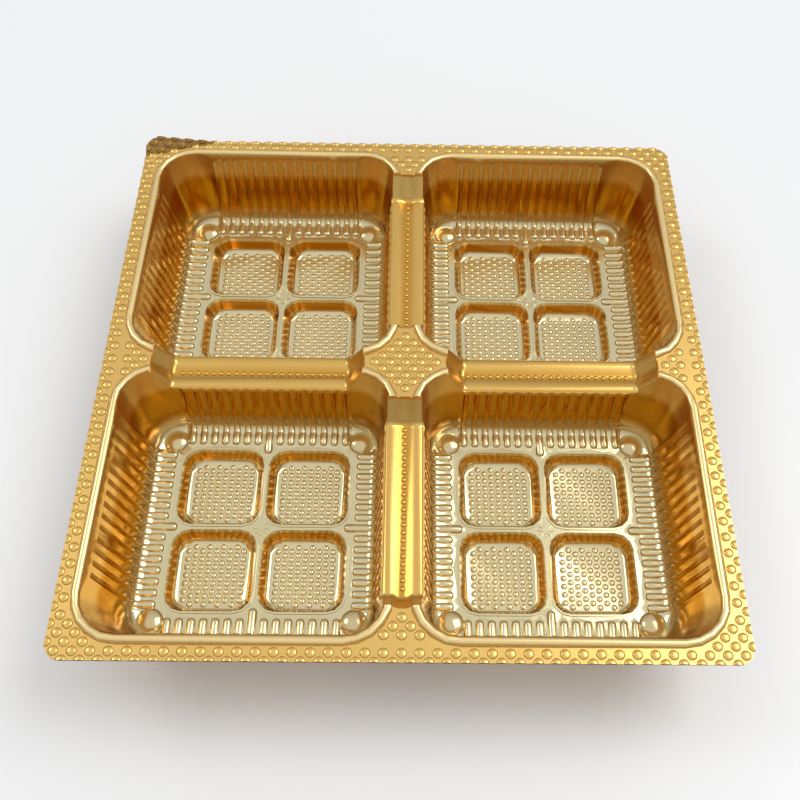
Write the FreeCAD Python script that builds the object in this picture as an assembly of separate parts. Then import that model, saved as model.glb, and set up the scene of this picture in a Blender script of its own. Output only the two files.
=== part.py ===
"""Four-cavity thermoformed plastic tray, one sheet drawn into one solid.

Millimetres. Origin at the centre of the footprint on the table, +Z up,
+Y towards the back edge. The sheet is what is left between the room above
it and the same room grown by the sheet thickness. A quarter is drawn and
mirrored twice; then one flange corner is bent up.
Curves are drawn in short flats, so that every face is plane.
"""

import FreeCAD
import Part
import math
import os

V = FreeCAD.Vector

# ---- driving dimensions ----
TRAY_SIZE = 170.0            # flange, edge to edge
TRAY_CORNER_R = 4.0
SHEET = 0.5                  # sheet thickness
CAVITY_DEPTH = 25.0          # flange face down to cavity floor
POCKET_DEPTH = 4.5           # cavity floor down to pocket floor

# cavity, given for the one at -X -Y
LIP_OUTER = 78.5             # outer edge of the mouth from the tray centre
LIP_INNER = 4.35             # inner edge of the mouth from the tray centre
FOOT_OUTER = 73.2            # foot of the outer walls
FOOT_INNER = 7.8             # foot of the divider walls
MOUTH_CORNER_R = 10.0
FOOT_CORNER_R = 8.0
FLOOR_FILLET_R = 3.0
CAVITY_FLATS = 5             # flats in a quarter turn

# rolled lip bead round each mouth
BEAD_WIDTH = 2.7
BEAD_HEIGHT = 1.2

# lowered dividers
SADDLE_DROP = 6.5            # flange face down to the divider bands
SADDLE_START = 12.0          # the step begins this far from the tray centre
SADDLE_END = 71.3            # and the far one this far
STEP_LENGTH = 4.8
STEP_TOP_R = 1.2
STEP_FOOT_R = 1.8
CHANNEL_DEPTH = 1.0
CHANNEL_FLOOR_HALF = 1.2
CHANNEL_MOUTH_HALF = 2.4
BAND_HALF = 4.7              # the flat of the bands ends here
BAND_EDGE_DROP = 0.5

# pockets in the cavity floor
POCKET_CENTRE = 40.4         # middle of the group of four from the tray centre
POCKET_PITCH = 25.3
POCKET_MOUTH = 23.6
POCKET_FOOT = 20.6
POCKET_MOUTH_R = 4.8
POCKET_FOOT_R = 3.8
POCKET_FILLET_R = 1.4
POCKET_FLATS = 3
RIM_WIDTH = 0.85
RIM_HEIGHT = 0.3

# ribs that run along the floor margin and on up the walls
RIB_COUNT = 15
RIB_PITCH = 3.25
RIB_HEIGHT = 0.6             # on the floor
FLUTE_HEIGHT = 0.4           # on the walls
RIB_REACH = 26.4             # inner end from the middle of the pocket group
RIB_REACH_MIDDLE = 23.6      # the long middle one
RIB_MIDDLE_WIDTH = 2.0
RIB_FADE = 0.6               # length over which a rib runs out
RIB_CORNER_R = 2.0           # corner of the line of rib ends
FLUTE_GAP = 1.2              # the flutes start to run out this far under the flange

# domed knobs in the floor corners
KNOB_OFFSET = 27.4           # from the middle of the pocket group
KNOB_RADIUS = 2.9
KNOB_HEIGHT = 1.5
KNOB_FLATS = 10

# star embossed between the four pockets
STAR_LENGTH = 4.4
STAR_WIDTH = 0.7
STAR_HEIGHT = 0.35

# flange corner left bent up
FOLD_ON_SIDE = 78.0          # Y where the fold meets the left edge
FOLD_ON_BACK = 61.0          # -X where it meets the back edge
FOLD_ANGLE = 26.0

# ---- derived levels ----
HALF = TRAY_SIZE / 2.0
FLOOR_Z = SHEET + POCKET_DEPTH
FLANGE_Z = FLOOR_Z + CAVITY_DEPTH
OUTER_SLOPE = (LIP_OUTER - FOOT_OUTER) / CAVITY_DEPTH
INNER_SLOPE = (FOOT_INNER - LIP_INNER) / CAVITY_DEPTH
CORNER_SLOPE = (MOUTH_CORNER_R - FOOT_CORNER_R) / CAVITY_DEPTH
POCKET_SLOPE = (POCKET_MOUTH - POCKET_FOOT) / 2.0 / POCKET_DEPTH
POCKET_CORNER_SLOPE = (POCKET_MOUTH_R - POCKET_FOOT_R) / POCKET_DEPTH
EMBED = SHEET * 0.5


def outline(x0, x1, y0, y1, r, z, flats):
    """Corner points of a rounded rectangle, with so many flats per corner."""
    pts = []
    corners = [(x1 - r, y0 + r, -90), (x1 - r, y1 - r, 0), (x0 + r, y1 - r, 90), (x0 + r, y0 + r, 180)]
    for cx, cy, start in corners:
        for i in range(flats + 1):
            a = math.radians(start + 90.0 * i / flats)
            pts.append(V(cx + r * math.cos(a), cy + r * math.sin(a), z))
    return pts


def polygon_face(pts):
    return Part.Face(Part.makePolygon(pts + [pts[0]]))


def side_faces(a, b, c, d):
    """One plane face for the four corners, or two where they are not in plane."""
    normal = (b - a).cross(d - a)
    if normal.Length > 1e-9 and abs((c - a).dot(normal)) / normal.Length < 1e-7:
        return [polygon_face([a, b, c, d])]
    return [polygon_face([a, b, c]), polygon_face([a, c, d])]


def skin(rings):
    """Closed solid through rings of points that match one to one."""
    faces = [polygon_face(rings[0]), polygon_face(rings[-1])]
    for low, high in zip(rings, rings[1:]):
        for i in range(len(low)):
            j = (i + 1) % len(low)
            faces += side_faces(low[i], low[j], high[j], high[i])
    solid = Part.Solid(Part.Shell(faces))
    if solid.Volume < 0:
        solid.reverse()
    return solid


def fillet_steps(r, slope, steps):
    """(inset from the wall line at the floor, height) down a floor fillet."""
    draft = math.atan(slope)
    tangent = r * math.tan((math.pi / 2.0 - draft) / 2.0)
    out = []
    for i in range(steps + 1):
        a = (math.pi / 2.0 - draft) * i / steps
        out.append((tangent - r * math.sin(a), r - r * math.cos(a)))
    return out


# ---- cavity ----

def cavity_sides(z, grow, inset):
    """Distances of the outer and inner walls and the corner radius at z."""
    up = z - FLOOR_Z
    outer = FOOT_OUTER + OUTER_SLOPE * up + grow - inset
    inner = FOOT_INNER - INNER_SLOPE * up - grow + inset
    return outer, inner, FOOT_CORNER_R + CORNER_SLOPE * up + grow - inset


def cavity_wire(z, grow, inset):
    outer, inner, r = cavity_sides(z, grow, inset)
    return outline(-outer, -inner, -outer, -inner, r, z, CAVITY_FLATS)


def mouth_wire(z, offset):
    outer = LIP_OUTER + offset
    inner = LIP_INNER - offset
    return outline(-outer, -inner, -outer, -inner, MOUTH_CORNER_R + offset, z, CAVITY_FLATS)


def fluted(wire, rib):
    """The wire with a crest and two valley points for each rib on its sides.

    A rib is (how far it leans into the cavity, how far it rises).
    """
    per = CAVITY_FLATS + 1
    c = -POCKET_CENTRE
    half = RIB_PITCH / 2.0
    pts = []
    # the sides follow the corners at +X -Y, +X +Y, -X +Y and -X -Y
    sides = [V(-1, 0, 0), V(0, -1, 0), V(1, 0, 0), V(0, 1, 0)]
    lean, rise = rib
    for n, inward in enumerate(sides):
        corner = wire[n * per:(n + 1) * per]
        pts += corner
        base = corner[-1]
        step = V(-inward.y, inward.x, 0) * -1.0
        middle = V(c, c, 0)
        start = base + step * (middle - base).dot(step)
        for k in range(RIB_COUNT + 1):
            at = (k - RIB_COUNT / 2.0) * RIB_PITCH
            pts.append(start + step * at)
            if k < RIB_COUNT:
                pts.append(start + step * (at + half) + inward * lean + V(0, 0, rise))
    return pts


def cavity_form(grow, steps, top_wires):
    """Room in the cavity up to the mouth, its floor edge rounded."""
    slope = (OUTER_SLOPE + INNER_SLOPE) / 2.0
    base = FLOOR_Z - grow
    wires = []
    for inset, up in fillet_steps(FLOOR_FILLET_R + grow, slope, steps):
        wires.append(cavity_wire(base + up, grow, inset + slope * up))
    return skin(wires + top_wires)


def rib_end_wire(reach):
    c = -POCKET_CENTRE
    return outline(c - reach, c + reach, c - reach, c + reach, RIB_CORNER_R, FLOOR_Z, CAVITY_FLATS)


def cavity_inside():
    """Room in the cavity: ribbed floor margin, fluted walls, flared mouth."""
    slope = (OUTER_SLOPE + INNER_SLOPE) / 2.0
    flat = (0.0, 0.0)
    rings = [fluted(rib_end_wire(RIB_REACH), flat)]
    rise = (0.0, RIB_HEIGHT)
    rings.append(fluted(rib_end_wire(RIB_REACH + RIB_FADE), rise))
    steps = fillet_steps(FLOOR_FILLET_R, slope, 2)
    for i, (inset, up) in enumerate(steps):
        a = (math.pi / 2.0 - math.atan(slope)) * i / 2.0
        h = RIB_HEIGHT + (FLUTE_HEIGHT - RIB_HEIGHT) * i / 2.0
        lift = (h * math.sin(a), h * math.cos(a))
        rings.append(fluted(cavity_wire(FLOOR_Z + up, 0.0, inset + slope * up), lift))
    flute = (FLUTE_HEIGHT, 0.0)
    rings.append(fluted(cavity_wire(FLANGE_Z - FLUTE_GAP, 0.0, 0.0), flute))
    rings.append(fluted(cavity_wire(FLANGE_Z + BEAD_HEIGHT * 0.4, 0.0, 0.0), flat))
    rings.append(fluted(mouth_wire(FLANGE_Z + BEAD_HEIGHT, BEAD_WIDTH * 0.3), flat))
    return skin(rings)


def cavity_outside():
    return cavity_form(SHEET, 2, [cavity_wire(FLANGE_Z - EMBED, SHEET, 0.0)])


# ---- bead ----

def bead_block():
    """Outer half of the bead; the cavity room shapes its inner half."""
    w, h = BEAD_WIDTH, BEAD_HEIGHT
    return skin([
        mouth_wire(FLANGE_Z - EMBED, w), mouth_wire(FLANGE_Z + h * 0.5, w * 0.94),
        mouth_wire(FLANGE_Z + h, w * 0.66),
    ])


def bead_hollow():
    """Groove under the bead, so the lip stays one sheet thick."""
    low = FLANGE_Z - SHEET * 3.0
    top = FLANGE_Z + BEAD_HEIGHT - SHEET
    far = BEAD_WIDTH - SHEET
    near = SHEET * 1.05
    lean = SHEET * 0.6
    hull = skin([mouth_wire(low, far), mouth_wire(top, far - lean)])
    core = skin([mouth_wire(low - 1.0, near), mouth_wire(top + 0.01, near + lean)])
    return hull.cut(core)


# ---- lowered dividers ----

def rounded_points(pts, radii):
    """Polygon with some corners cut in two flats along an arc."""
    out = []
    n = len(pts)
    for i in range(n):
        p, a, b, r = pts[i], pts[i - 1], pts[(i + 1) % n], radii[i]
        if r <= 0:
            out.append(p)
            continue
        u = (a - p).normalize()
        w = (b - p).normalize()
        half = math.acos(u.dot(w)) / 2.0
        t = r / math.tan(half)
        bis = (u + w).normalize()
        out += [p + u * t, p + bis * (r / math.sin(half) - r), p + w * t]
    return out


def saddle_wire(x, sink, top_z):
    """Side view of the lowered divider at x, sunk square to its surface."""
    run, drop = STEP_LENGTH, SADDLE_DROP
    side = sink * (math.hypot(run, drop) - run) / drop
    z0 = FLANGE_Z - sink
    zb = z0 - drop
    near = SADDLE_START - side
    far = SADDLE_END + side
    pts = [
        V(x, -far, top_z), V(x, -far, z0), V(x, -far + run, zb),
        V(x, -near - run, zb), V(x, -near, z0), V(x, -near, top_z),
    ]
    return rounded_points(pts, [0, STEP_TOP_R, STEP_FOOT_R, STEP_FOOT_R, STEP_TOP_R, 0])


def saddle_form(grow, top_z):
    """Room above one lowered divider (the arm along -Y), sunk by grow."""
    reach = FOOT_INNER + 0.6
    edge = BAND_HALF + BAND_EDGE_DROP
    lean = grow * 0.4
    stations = [
        (-reach, BAND_EDGE_DROP), (-edge, BAND_EDGE_DROP), (-BAND_HALF, 0.0),
        (-CHANNEL_MOUTH_HALF - lean, 0.0), (-CHANNEL_FLOOR_HALF - lean, CHANNEL_DEPTH),
    ]
    if grow > 0:
        stations = stations[:1] + stations[3:]
    stations += [(-x, d) for x, d in reversed(stations)]
    return skin([saddle_wire(x, d + grow, top_z) for x, d in stations])


def both_arms(form):
    """The form on the -Y arm and its twin on the -X arm."""
    twin = form.copy()
    twin.rotate(V(0, 0, 0), V(0, 0, 1), -90.0)
    return [form, twin]


# ---- pockets ----

def pocket_centres():
    h = POCKET_PITCH / 2.0
    c = -POCKET_CENTRE
    return [(c - h, c - h), (c + h, c - h), (c - h, c + h), (c + h, c + h)]


def pocket_wire(cx, cy, z, spread):
    up = z - (FLOOR_Z - POCKET_DEPTH)
    half = POCKET_FOOT / 2.0 + POCKET_SLOPE * up + spread
    r = POCKET_FOOT_R + POCKET_CORNER_SLOPE * up + spread
    return outline(cx - half, cx + half, cy - half, cy + half, r, z, POCKET_FLATS)


def pocket_form(cx, cy, grow, top_wires):
    r = POCKET_FILLET_R + grow
    base = FLOOR_Z - POCKET_DEPTH - grow
    wires = []
    for inset, up in fillet_steps(r, POCKET_SLOPE, 1):
        wires.append(pocket_wire(cx, cy, base + up, grow - inset - POCKET_SLOPE * up))
    return skin(wires + top_wires)


def pocket_inside(cx, cy):
    return pocket_form(cx, cy, 0.0, [pocket_wire(cx, cy, FLOOR_Z + RIM_HEIGHT + 0.05, 0.0)])


def pocket_outside(cx, cy):
    return pocket_form(cx, cy, SHEET, [pocket_wire(cx, cy, FLOOR_Z - EMBED, SHEET)])


def rim_pad(cx, cy):
    wide = RIM_WIDTH
    low = pocket_wire(cx, cy, FLOOR_Z - EMBED, wide)
    high = pocket_wire(cx, cy, FLOOR_Z + RIM_HEIGHT, wide - RIM_HEIGHT)
    return skin([low, high])


# ---- middle ribs, knobs and stars ----

def middle_ribs():
    """The long rib in the middle of each side, reaching between the pockets."""
    c = POCKET_CENTRE
    half = RIB_MIDDLE_WIDTH / 2.0
    made = []
    for k in range(4):
        rings = []
        for s, h in ((RIB_REACH_MIDDLE, 0.0), (RIB_REACH_MIDDLE + RIB_FADE, RIB_HEIGHT), (RIB_REACH + RIB_FADE, RIB_HEIGHT)):
            low = FLOOR_Z - EMBED
            rings.append([V(s, -half, low), V(s, half, low), V(s, 0, FLOOR_Z + h)])
        one = skin(rings)
        one.rotate(V(0, 0, 0), V(0, 0, 1), 90.0 * k)
        one.translate(V(-c, -c, 0))
        made.append(one)
    return made


def ring_wire(cx, cy, r, z):
    pts = []
    for i in range(KNOB_FLATS):
        a = 2.0 * math.pi * (i + 0.5) / KNOB_FLATS
        pts.append(V(cx + r * math.cos(a), cy + r * math.sin(a), z))
    return pts


def knobs():
    made = []
    r, h = KNOB_RADIUS, KNOB_HEIGHT
    for sx in (-1, 1):
        for sy in (-1, 1):
            x = -POCKET_CENTRE + sx * KNOB_OFFSET
            y = -POCKET_CENTRE + sy * KNOB_OFFSET
            made.append(skin([
                ring_wire(x, y, r, FLOOR_Z - EMBED), ring_wire(x, y, r * 0.94, FLOOR_Z + h * 0.45),
                ring_wire(x, y, r * 0.55, FLOOR_Z + h),
            ]))
    return made


def star():
    """Eight-armed star, as four crossed bars."""
    made = []
    for k in range(4):
        half = STAR_LENGTH / 2.0
        low = V(-half, -STAR_WIDTH / 2.0, FLOOR_Z - EMBED)
        bar = Part.makeBox(STAR_LENGTH, STAR_WIDTH, STAR_HEIGHT + EMBED, low)
        bar.rotate(V(0, 0, 0), V(0, 0, 1), 45.0 * k)
        bar.translate(V(-POCKET_CENTRE, -POCKET_CENTRE, 0))
        made.append(bar)
    return made


# ---- assembly of the sheet ----

def quarter():
    """The quarter of the tray at -X -Y."""
    room = Part.makeBox(HALF + 5, HALF + 5, FLANGE_Z + 20, V(-HALF - 5, -HALF - 5, -10))
    flange = polygon_face(outline(-HALF, HALF, -HALF, HALF, TRAY_CORNER_R, FLANGE_Z - SHEET, POCKET_FLATS))
    body = flange.extrude(V(0, 0, SHEET)).common(room)
    centres = pocket_centres()
    grown = [cavity_outside(), bead_block()] + both_arms(saddle_form(SHEET, FLANGE_Z - EMBED))
    for form in grown + [pocket_outside(x, y) for x, y in centres]:
        body = body.fuse(form)
    for form in [cavity_inside()] + both_arms(saddle_form(0.0, FLANGE_Z + 5.0)):
        body = body.cut(form)
    hollow = bead_hollow()
    for form in both_arms(saddle_form(SHEET, FLANGE_Z + 5.0)):
        hollow = hollow.cut(form)
    body = body.cut(hollow)
    body = body.multiFuse([rim_pad(x, y) for x, y in centres] + knobs() + star() + middle_ribs())
    for x, y in centres:
        body = body.cut(pocket_inside(x, y))
    return body.common(room)


def bend_corner(tray):
    """Turn the flange corner at -X +Y up about a line just outside the bead."""
    a = V(-HALF, FOLD_ON_SIDE, FLANGE_Z - SHEET)
    b = V(-FOLD_ON_BACK, HALF, FLANGE_Z - SHEET)
    along = (b - a).normalize()
    out = V(-along.y, along.x, 0)
    p, q = a - along * 30.0, b + along * 30.0
    low = V(0, 0, -1.0)
    base = Part.makePolygon([p + low, q + low, q + out * 30.0 + low, p + out * 30.0 + low, p + low])
    knife = Part.Face(base).extrude(V(0, 0, 3.0))
    flap = tray.common(knife)
    flap.rotate(a, along, FOLD_ANGLE)
    return tray.cut(knife).fuse(flap)


def main():
    first = quarter()
    side = first.fuse(first.mirror(V(0, 0, 0), V(1, 0, 0)))
    tray = side.fuse(side.mirror(V(0, 0, 0), V(0, 1, 0)))
    tray = bend_corner(tray).removeSplitter().Solids[0]
    os.makedirs("parts", exist_ok=True)
    tray.exportStep("parts/tray.step")


main()
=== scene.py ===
"""A gold thermoformed tray with four ribbed cavities, dressed around its packed form."""

import math

import bmesh
import bpy
from mathutils import Matrix, Vector


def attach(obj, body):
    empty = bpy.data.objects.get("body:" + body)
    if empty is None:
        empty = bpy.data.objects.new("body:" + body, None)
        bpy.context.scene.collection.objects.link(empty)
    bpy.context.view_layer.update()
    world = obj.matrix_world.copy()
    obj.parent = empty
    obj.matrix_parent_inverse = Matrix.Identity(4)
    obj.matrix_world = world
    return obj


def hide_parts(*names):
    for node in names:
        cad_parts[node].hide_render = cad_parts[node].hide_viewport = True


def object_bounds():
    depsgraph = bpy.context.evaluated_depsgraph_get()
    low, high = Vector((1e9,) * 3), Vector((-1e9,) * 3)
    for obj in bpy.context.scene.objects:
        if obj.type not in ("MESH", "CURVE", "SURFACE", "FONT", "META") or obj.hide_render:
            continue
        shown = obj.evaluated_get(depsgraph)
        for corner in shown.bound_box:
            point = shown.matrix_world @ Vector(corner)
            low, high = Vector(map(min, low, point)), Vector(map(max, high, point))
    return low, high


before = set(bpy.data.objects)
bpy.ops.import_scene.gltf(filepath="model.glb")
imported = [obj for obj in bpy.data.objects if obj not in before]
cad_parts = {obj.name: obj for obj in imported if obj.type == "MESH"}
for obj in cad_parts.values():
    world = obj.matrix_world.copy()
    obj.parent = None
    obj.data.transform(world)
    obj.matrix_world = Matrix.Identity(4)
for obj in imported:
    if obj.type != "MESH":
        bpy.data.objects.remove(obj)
cad_low, cad_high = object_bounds()

MM = 0.001
HALF = cad_high.x / MM

# Levels and outlines of the tray, in millimetres.
FLANGE_TOP = 30.0
POCKET_FLOOR = 0.5
CHANNEL_FLOOR = 22.5
LIP_OUTER = 78.5
LIP_INNER = 4.35
MOUTH_CORNER = 10.0
BEAD_WIDTH = 2.7
TRAY_CORNER = 4.0
SADDLE_START = 12.0
SADDLE_END = 71.3
POCKET_CENTRE = 40.4
POCKET_PITCH = 25.3

# The corner that is bent up: where its fold meets the side and the back.
FOLD_SIDE = Vector((-HALF, 78.0, FLANGE_TOP))
FOLD_BACK = Vector((-61.0, HALF, FLANGE_TOP))
FOLD_ANGLE = math.radians(26)

# Dimples pressed into the flats. Their detail is sides and rings.
FLANGE_COLUMN = 4.35
FLANGE_ROW = 2.1776
FLANGE_DIMPLE_R = 1.38
FLANGE_DIMPLE_H = 0.46
FLANGE_DETAIL = (12, 3)
CORNER_MARGIN = 1.0
PLAIN_STRIP = (79.6, 81.6)
STRIP_REACH = 14.0
POCKET_COLUMN = 1.94
POCKET_ROW = 2.4
POCKET_DIMPLE_R = 0.98
POCKET_DIMPLE_H = 0.48
POCKET_STEPS = 4
SMALL_DETAIL = (10, 2)
FIELD_HALF = 8.7
FIELD_CORNER = 2.4
KNOB_OFFSET = 27.4
KNOB_R = 3.8
KNOB_H = 1.75
KNOB_DETAIL = (24, 6)
CHANNEL_PITCH = 2.2
CHANNEL_SPAN = (18.0, 65.5)
CHANNEL_DIMPLE_R = 0.8
CHANNEL_DIMPLE_H = 0.4
SINK = 0.2
EDGE_CUT = 0.02

# Round ribs that run from the cavity floor up its walls.
CAVITY_FLOOR = 5.0
FOOT_OUTER = 73.2
FOOT_INNER = 7.8
OUTER_SLOPE = 0.212
INNER_SLOPE = 0.138
FOOT_FILLET = 3.0
RIB_COUNT = 15
RIB_PITCH = 3.25
RIB_REACH = 26.4
RIB_REACH_MIDDLE = 23.6
RIB_HALF_WIDTH = 1.28
RIB_HEIGHT = 0.95
FLUTE_HALF_WIDTH = 0.85
FLUTE_HEIGHT = 0.55
OUTER_FLUTE_TOP = 28.6
INNER_FLUTE_TOP = 22.2
RIB_SIDES = 6
FILLET_STEPS = 4
RIB_TIP = (0.35, 1.0)
FLUTE_TIP = 0.8
FIRST_SCALES = {0: 0.45, 1: 0.85}
LAST_SCALE = 0.3

# Heights over which one colour goes over into the next: painted reflection on the floors,
# painted shade on the pocket sides and walls, the flange gold, and a painted highlight
# along the bead crests.
POCKET_SIDE_FROM = (1.1, 1.9)
POCKET_SIDE_TO = (4.1, 4.6)
WALL_FROM = (5.5, 11.0)
FLANGE_FROM = (21.5, 24.0)
CREST_FROM = (30.55, 31.1)

# Colours of the finishes, and their places in each piece's list of materials. Of these,
# the floor colour is a painted reflection, the wall colour painted shade, the crest colour
# a painted highlight and the bent corner's colour painted shade.
FLOOR_PAINTED_REFLECTION = (0.7, 0.61, 0.36)
WALL_PAINTED_SHADE = (0.57, 0.26, 0.012)
FLANGE_GOLD = (0.8, 0.52, 0.15)
CREST_PAINTED_HIGHLIGHT = (0.92, 0.68, 0.3)
BENT_PAINTED_SHADE = (0.3, 0.16, 0.03)
OUTER_GOLD = (0.7, 0.4, 0.07)
EDGE_BROWN = (0.11, 0.06, 0.02)
TABLE_WHITE = (0.92, 0.93, 0.94)
BENT, EDGE, OUTER = 1, 2, 3

# The camera, in metres and degrees, and its lens in millimetres.
CAMERA_PLACE = (0.00096, -0.14505, 0.25393)
CAMERA_TURN = (30.608, -1.103, 0.118)
CAMERA_LENS = 42.36
CAMERA_SENSOR = 36.0
CAMERA_SHIFT = -0.0287

SMOOTH_BELOW = math.radians(50)
WELD = 0.001


class Value:
    """An output socket that takes part in plain arithmetic."""

    def __init__(self, shader, socket):
        self.shader = shader
        self.socket = socket

    def combined(self, operation, first, second):
        return self.shader.value(
            "ShaderNodeMath", {"operation": operation}, {0: first, 1: second}
        )

    def __add__(self, other):
        return self.combined("ADD", self, other)

    def __sub__(self, other):
        return self.combined("SUBTRACT", self, other)

    def __mul__(self, other):
        return self.combined("MULTIPLY", self, other)

    def __rsub__(self, other):
        return self.combined("SUBTRACT", other, self)

    __radd__ = __add__
    __rmul__ = __mul__


def as_colour(colour):
    """A linked colour as it is, and a plain one with full opacity."""
    return colour if isinstance(colour, Value) else (*colour, 1)


class Shader:
    """A node tree that is filled one node at a time."""

    def __init__(self, tree):
        self.tree = tree
        tree.nodes.clear()

    def node(self, kind, settings, sockets):
        made = self.tree.nodes.new(kind)
        for name, setting in settings.items():
            setattr(made, name, setting)
        for name, value in sockets.items():
            if isinstance(value, Value):
                self.tree.links.new(value.socket, made.inputs[name])
            else:
                made.inputs[name].default_value = value
        return made

    def value(self, kind, settings, sockets, output=0):
        return Value(self, self.node(kind, settings, sockets).outputs[output])

    def mixed(self, factor, first, second):
        return self.value(
            "ShaderNodeMix",
            {"data_type": "RGBA"},
            {0: factor, 6: as_colour(first), 7: as_colour(second)},
            output=2,
        )

    def between(self, value, low, high):
        """0 at low and 1 at high."""
        sockets = {"Value": value, "From Min": low, "From Max": high}
        return self.value("ShaderNodeMapRange", {}, sockets)


def gold(name, floor_colour, wall_colour, flange_colour, crest_colour, roughness):
    """Metallised plastic: satin on the flange, glossy below, with painted shade on the
    walls and pocket sides, a painted reflection on the floors and a painted highlight on
    the bead crests.
    """
    material = bpy.data.materials.new(name)
    material.use_nodes = True
    shader = Shader(material.node_tree)
    place = shader.value("ShaderNodeTexCoord", {}, {}, output="Object")
    height = shader.value("ShaderNodeSeparateXYZ", {}, {0: place}, output="Z")

    def past(span):
        return shader.between(height, span[0] * MM, span[1] * MM)

    off_floor = past(WALL_FROM)
    on_flange = past(FLANGE_FROM)
    cloud = shader.value(
        "ShaderNodeTexNoise", {}, {"Vector": place, "Scale": 45.0, "Detail": 3.0}
    )
    grain = shader.value(
        "ShaderNodeTexNoise", {}, {"Vector": place, "Scale": 2600.0, "Detail": 2.0}
    )
    # Painted shade: the pocket sides and the cavity walls take the darker wall colour, and
    # the floors keep the paler painted reflection.
    pocket_side_shade = past(POCKET_SIDE_FROM) * (1 - past(POCKET_SIDE_TO))
    lower = shader.mixed(off_floor + pocket_side_shade, floor_colour, wall_colour)
    # Where the flange gold takes over from the painted wall shade, with a noisy edge.
    flange_colour_share = shader.between(on_flange + cloud * 0.2 - 0.1, 0.0, 1.0)
    upper = shader.mixed(flange_colour_share, lower, flange_colour)
    # Painted highlight: the bead crests are made paler and get more coat.
    crest_highlight = past(CREST_FROM)
    bump = shader.value(
        "ShaderNodeBump", {}, {"Strength": 0.1, "Distance": 0.04 * MM, "Height": grain}
    )
    coat = (1 - off_floor) * 0.5 + on_flange * 0.3 + crest_highlight * 0.35
    surface = shader.value(
        "ShaderNodeBsdfPrincipled",
        {},
        {
            "Base Color": shader.mixed(crest_highlight, upper, crest_colour),
            "Metallic": 0.96,
            "Roughness": on_flange * 0.1 + cloud * 0.05 + roughness,
            "Coat Weight": coat,
            "Coat Roughness": 0.06,
            "Normal": bump,
        },
    )
    shader.node("ShaderNodeOutputMaterial", {}, {"Surface": surface})
    return material


def plain(name, colour, roughness):
    """A dull finish with a faint mottle."""
    material = bpy.data.materials.new(name)
    material.use_nodes = True
    shader = Shader(material.node_tree)
    place = shader.value("ShaderNodeTexCoord", {}, {}, output="Object")
    mottle = shader.value("ShaderNodeTexNoise", {}, {"Vector": place, "Scale": 9.0})
    paler = [min(1.0, part * 1.02) for part in colour]
    surface = shader.value(
        "ShaderNodeBsdfPrincipled",
        {},
        {"Base Color": shader.mixed(mottle, colour, paler), "Roughness": roughness},
    )
    shader.node("ShaderNodeOutputMaterial", {}, {"Surface": surface})
    return material


def beyond_fold(point):
    """How far a point lies on the bent side of the fold."""
    along = (FOLD_BACK - FOLD_SIDE).normalized()
    offset = point - FOLD_SIDE
    return along.x * offset.y - along.y * offset.x


def folded(point):
    """Where a flat point goes when the corner is bent up."""
    if beyond_fold(point) <= 0:
        return point
    turn = Matrix.Rotation(FOLD_ANGLE, 3, FOLD_BACK - FOLD_SIDE)
    return FOLD_SIDE + turn @ (point - FOLD_SIDE)


def mouth_distance(x, y):
    """How far a point lies outside the nearest cavity mouth."""
    middle = (LIP_OUTER + LIP_INNER) / 2
    straight = (LIP_OUTER - LIP_INNER) / 2 - MOUTH_CORNER
    dx = abs(abs(x) - middle) - straight
    dy = abs(abs(y) - middle) - straight
    outside = math.hypot(max(dx, 0), max(dy, 0))
    return outside + min(max(dx, dy), 0) - MOUTH_CORNER


def on_textured_flat(x, y):
    """True on the flange, the middle island and the four junctions."""
    near, far = sorted((abs(x), abs(y)))
    if far > HALF + FLANGE_DIMPLE_R / 2:
        return False
    corner = HALF - TRAY_CORNER
    rounded = math.hypot(near - corner, far - corner)
    if near > corner and rounded > TRAY_CORNER - CORNER_MARGIN:
        return False
    if mouth_distance(x, y) < BEAD_WIDTH + FLANGE_DIMPLE_R / 2:
        return False
    if near < STRIP_REACH and PLAIN_STRIP[0] < far < PLAIN_STRIP[1]:
        return False
    return not SADDLE_START < far < SADDLE_END + FLANGE_DIMPLE_R


def flange_places():
    rows = math.ceil(HALF / FLANGE_ROW)
    columns = math.ceil(HALF / FLANGE_COLUMN)
    for row in range(-rows, rows + 1):
        stagger = FLANGE_COLUMN / 2 if row % 2 else 0
        for column in range(-columns, columns + 1):
            x = column * FLANGE_COLUMN + stagger
            y = row * FLANGE_ROW
            if on_textured_flat(x, y):
                yield Vector((x, y, FLANGE_TOP))


def pocket_centres():
    steps = [
        side * (POCKET_CENTRE + half * POCKET_PITCH / 2)
        for side in (-1, 1)
        for half in (-1, 1)
    ]
    return [(x, y) for x in steps for y in steps]


def in_field(x, y):
    """True inside the rounded field of a pocket floor."""
    dx = max(abs(x) - FIELD_HALF + FIELD_CORNER, 0)
    dy = max(abs(y) - FIELD_HALF + FIELD_CORNER, 0)
    return math.hypot(dx, dy) <= FIELD_CORNER


def pocket_places():
    for centre_x, centre_y in pocket_centres():
        for column in range(-POCKET_STEPS, POCKET_STEPS + 1):
            stagger = POCKET_ROW / 2 if column % 2 else 0
            for row in range(-POCKET_STEPS, POCKET_STEPS + 1):
                x = column * POCKET_COLUMN
                y = row * POCKET_ROW + stagger
                if in_field(x, y):
                    yield Vector((centre_x + x, centre_y + y, POCKET_FLOOR))


def channel_places():
    count = int((CHANNEL_SPAN[1] - CHANNEL_SPAN[0]) / CHANNEL_PITCH) + 1
    for step in range(count):
        along = CHANNEL_SPAN[0] + step * CHANNEL_PITCH
        for side in (-1, 1):
            yield Vector((side * along, 0, CHANNEL_FLOOR))
            yield Vector((0, side * along, CHANNEL_FLOOR))


def knob_places():
    for x, y in ((1, 1), (-1, 1), (1, -1), (-1, -1)):
        for inward_x in (1, -1):
            for inward_y in (1, -1):
                across = x * (POCKET_CENTRE + inward_x * KNOB_OFFSET)
                along = y * (POCKET_CENTRE + inward_y * KNOB_OFFSET)
                yield Vector((across, along, CAVITY_FLOOR))


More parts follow.
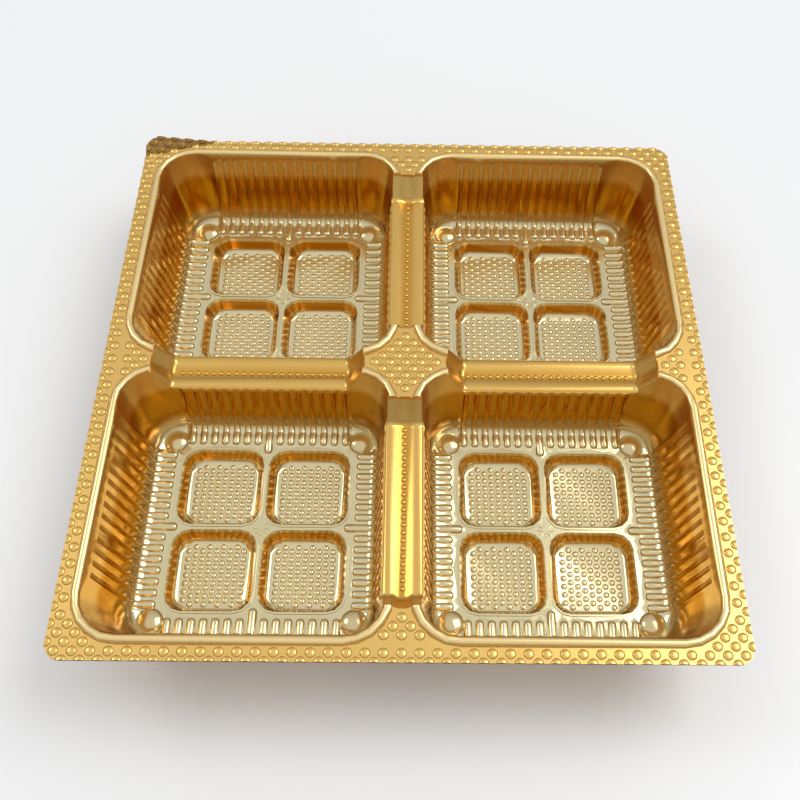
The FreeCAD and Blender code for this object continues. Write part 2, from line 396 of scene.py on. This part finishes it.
def add_dimple(form, place, radius, height, sides, rings):
    """A closed rounded button whose foot is sunk in the sheet."""
    loops = []
    for ring in range(rings + 1):
        lean = ring / (rings + 1) * math.pi / 2
        reach = radius * math.cos(lean)
        level = height * math.sin(lean) if ring else -SINK
        loop = []
        for side in range(sides):
            turn = 2 * math.pi * side / sides
            offset = Vector((reach * math.cos(turn), reach * math.sin(turn), level))
            loop.append(form.verts.new(place + offset))
        loops.append(loop)
    top = form.verts.new(place + Vector((0, 0, height)))
    form.faces.new(reversed(loops[0]))
    for low, high in zip(loops, loops[1:]):
        for side in range(sides):
            after = (side + 1) % sides
            form.faces.new((low[side], low[after], high[after], high[side]))
    for side in range(sides):
        form.faces.new((loops[-1][side], loops[-1][(side + 1) % sides], top))


def rib_path(foot, outward, slope, start, top):
    """Points and normals of a rib, as distance from the tray's middle and height."""
    lean = math.atan(slope)
    sweep = math.pi / 2 - lean
    tangent = FOOT_FILLET * math.tan(sweep / 2)
    centre = foot - outward * tangent
    up = CAVITY_FLOOR + FOOT_FILLET
    path = [
        ((start + outward * step, CAVITY_FLOOR), (0, 1)) for step in (0, *RIB_TIP)
    ]
    for step in range(FILLET_STEPS + 1):
        turn = sweep * step / FILLET_STEPS
        across, down = math.sin(turn), math.cos(turn)
        spot = (centre + outward * FOOT_FILLET * across, up - FOOT_FILLET * down)
        path.append((spot, (-outward * across, down)))
    for height in (top - FLUTE_TIP, top):
        spot = (foot + outward * slope * (height - CAVITY_FLOOR), height)
        path.append((spot, (-outward * math.cos(lean), math.sin(lean))))
    return path


def rib_sizes(count):
    """Half width and height at each point of a rib, rounded off at both ends."""
    ends = {**FIRST_SCALES, count - 1: LAST_SCALE}
    fillet_start = 1 + len(RIB_TIP)
    sizes = []
    for index in range(count):
        share = min(1.0, max(0.0, (index - fillet_start) / FILLET_STEPS))
        width = RIB_HALF_WIDTH + (FLUTE_HALF_WIDTH - RIB_HALF_WIDTH) * share
        height = RIB_HEIGHT + (FLUTE_HEIGHT - RIB_HEIGHT) * share
        scale = ends.get(index, 1.0)
        sizes.append((width * scale, height * scale))
    return sizes


def add_rib(form, path, along, side_is_x, mirror):
    """A closed half-round rib laid along its path."""
    loops = []
    for ((out, level), (lean_out, lean_up)), (width, height) in zip(
        path, rib_sizes(len(path))
    ):
        loop = []
        for step in range(RIB_SIDES + 1):
            turn = math.pi * step / RIB_SIDES
            rise = height * math.sin(turn) if 0 < step < RIB_SIDES else -SINK
            sideways = along + width * math.cos(turn)
            reach = out + lean_out * rise
            x, y = (reach, sideways) if side_is_x else (sideways, reach)
            place = Vector((x * mirror[0], y * mirror[1], level + lean_up * rise))
            loop.append(form.verts.new(place))
        loops.append(loop)
    form.faces.new(loops[0])
    form.faces.new(reversed(loops[-1]))
    for low, high in zip(loops, loops[1:]):
        for step in range(RIB_SIDES + 1):
            after = (step + 1) % (RIB_SIDES + 1)
            form.faces.new((low[step], high[step], high[after], low[after]))


def build_ribs(materials):
    form = bmesh.new()
    for mirror in ((1, 1), (-1, 1), (1, -1), (-1, -1)):
        for number in range(RIB_COUNT):
            offset = number - RIB_COUNT // 2
            reach = RIB_REACH if offset else RIB_REACH_MIDDLE
            outer = rib_path(
                FOOT_OUTER, 1, OUTER_SLOPE, POCKET_CENTRE + reach, OUTER_FLUTE_TOP
            )
            inner = rib_path(
                FOOT_INNER, -1, INNER_SLOPE, POCKET_CENTRE - reach, INNER_FLUTE_TOP
            )
            for path in (outer, inner):
                for side_is_x in (True, False):
                    along = POCKET_CENTRE + offset * RIB_PITCH
                    add_rib(form, path, along, side_is_x, mirror)
    finished("cavity_ribs", form, materials)


def trim_at_edges(form):
    """Cuts the outer dimples where the sheet itself was cut."""
    limit = HALF - EDGE_CUT
    for direction in ((1, 0, 0), (-1, 0, 0), (0, 1, 0), (0, -1, 0)):
        bmesh.ops.bisect_plane(
            form,
            geom=form.verts[:] + form.edges[:] + form.faces[:],
            plane_co=Vector(direction) * limit,
            plane_no=direction,
            clear_outer=True,
        )
        open_edges = [edge for edge in form.edges if edge.is_boundary]
        bmesh.ops.holes_fill(form, edges=open_edges, sides=0)


def finished(name, form, materials):
    """Turns a form in millimetres into a smooth riding piece of the tray."""
    bmesh.ops.recalc_face_normals(form, faces=form.faces)
    mesh = bpy.data.meshes.new(name)
    form.to_mesh(mesh)
    form.free()
    mesh.transform(Matrix.Scale(MM, 4))
    for material in materials:
        mesh.materials.append(material)
    mesh.shade_smooth()
    mesh.set_sharp_from_angle(angle=SMOOTH_BELOW)
    for face in mesh.polygons:
        centre = face.center / MM
        outermost = max(abs(centre.x), abs(centre.y))
        if outermost > HALF - TRAY_CORNER / 2 and abs(face.normal.z) < 0.25:
            face.material_index = EDGE
        # Painted shade: the bent-up corner gets its darker colour.
        elif centre.z > FLANGE_TOP - 0.8 and beyond_fold(centre) > 0.05:
            face.material_index = BENT
        elif name == "formed_sheet" and face.normal.z < -0.01:
            face.material_index = OUTER
    piece = bpy.data.objects.new(name, mesh)
    bpy.context.scene.collection.objects.link(piece)
    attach(piece, "root")
    return piece


def build_dimples(name, places, size, detail, materials, at_edges=False):
    form = bmesh.new()
    for place in places:
        add_dimple(form, place, *size, *detail)
    if at_edges:
        trim_at_edges(form)
    for vertex in form.verts:
        if vertex.co.z > FLANGE_TOP - 1:
            vertex.co = folded(vertex.co)
    finished(name, form, materials)


def build_sheet(materials):
    """The drawn sheet, welded and shaded as one smooth skin."""
    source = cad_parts["tray"].data
    mesh = bpy.data.meshes.new("bare_sheet")
    corners = [vertex.co / MM for vertex in source.vertices]
    faces = [list(face.vertices) for face in source.polygons]
    mesh.from_pydata(corners, [], faces)
    form = bmesh.new()
    form.from_mesh(mesh)
    bpy.data.meshes.remove(mesh)
    bmesh.ops.remove_doubles(form, verts=form.verts, dist=WELD)
    piece = finished("formed_sheet", form, materials)
    weighted = piece.modifiers.new("even_shading", "WEIGHTED_NORMAL")
    weighted.keep_sharp = True
    weighted.weight = 60
    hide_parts("tray")


def build_floor():
    form = bmesh.new()
    bmesh.ops.create_grid(form, x_segments=2, y_segments=2, size=4.0)
    mesh = bpy.data.meshes.new("table")
    form.to_mesh(mesh)
    form.free()
    mesh.materials.append(plain("pale_table", TABLE_WHITE, 0.3))
    table = bpy.data.objects.new("table", mesh)
    table.location.z = -0.05 * MM
    bpy.context.scene.collection.objects.link(table)


def add_softbox(name, place, size, power):
    light = bpy.data.lights.new(name, "AREA")
    light.shape = "SQUARE"
    light.size = size
    light.energy = power
    box = bpy.data.objects.new(name, light)
    box.location = place
    box.rotation_euler = (-Vector(place)).to_track_quat("-Z", "Y").to_euler()
    bpy.context.scene.collection.objects.link(box)


def light_studio():
    """A bright ceiling over darker walls, and two softboxes."""
    world = bpy.data.worlds.new("studio")
    bpy.context.scene.world = world
    world.use_nodes = True
    shader = Shader(world.node_tree)
    direction = shader.value("ShaderNodeTexCoord", {}, {}, output="Generated")
    up = shader.value("ShaderNodeSeparateXYZ", {}, {0: direction}, output="Z")
    sky = shader.mixed(shader.between(up, 0.1, 0.95), (0.36,) * 3, (1.0,) * 3)
    glow = shader.value("ShaderNodeBackground", {}, {"Color": sky, "Strength": 0.88})
    shader.node("ShaderNodeOutputWorld", {}, {"Surface": glow})
    add_softbox("key_softbox", (1.3, 0.5, 2.0), 1.4, 17.0)
    add_softbox("side_softbox", (-1.4, 0.7, 1.7), 0.7, 4.5)


def place_camera():
    lens = bpy.data.cameras.new("camera")
    lens.sensor_width = CAMERA_SENSOR
    lens.lens = CAMERA_LENS
    lens.shift_x = CAMERA_SHIFT
    camera = bpy.data.objects.new("camera", lens)
    camera.location = CAMERA_PLACE
    camera.rotation_euler = [math.radians(turn) for turn in CAMERA_TURN]
    bpy.context.scene.collection.objects.link(camera)
    bpy.context.scene.camera = camera


satin_gold = gold("satin_gold", FLOOR_PAINTED_REFLECTION, WALL_PAINTED_SHADE, FLANGE_GOLD, CREST_PAINTED_HIGHLIGHT, 0.14)
# Painted shade: the bent-up corner is a darker copy of the gold.
shaded_gold = gold("bent_corner_painted_shade", *[BENT_PAINTED_SHADE] * 4, roughness=0.3)
cut_edge = plain("cut_edge", EDGE_BROWN, 0.5)
outer_gold = gold("outer_gold", *[OUTER_GOLD] * 4, roughness=0.18)
finishes = [satin_gold, shaded_gold, cut_edge, outer_gold]

flange_size = (FLANGE_DIMPLE_R, FLANGE_DIMPLE_H)
pocket_size = (POCKET_DIMPLE_R, POCKET_DIMPLE_H)
channel_size = (CHANNEL_DIMPLE_R, CHANNEL_DIMPLE_H)
knob_size = (KNOB_R, KNOB_H)
build_sheet(finishes)
build_ribs(finishes)
build_dimples(
    "flange_dimples",
    flange_places(),
    flange_size,
    FLANGE_DETAIL,
    finishes,
    at_edges=True,
)
build_dimples("pocket_dimples", pocket_places(), pocket_size, SMALL_DETAIL, finishes)
build_dimples("channel_dimples", channel_places(), channel_size, SMALL_DETAIL, finishes)
build_dimples("corner_knobs", knob_places(), knob_size, KNOB_DETAIL, finishes)
build_floor()
light_studio()
place_camera()

bpy.context.scene.view_settings.view_transform = "Standard"
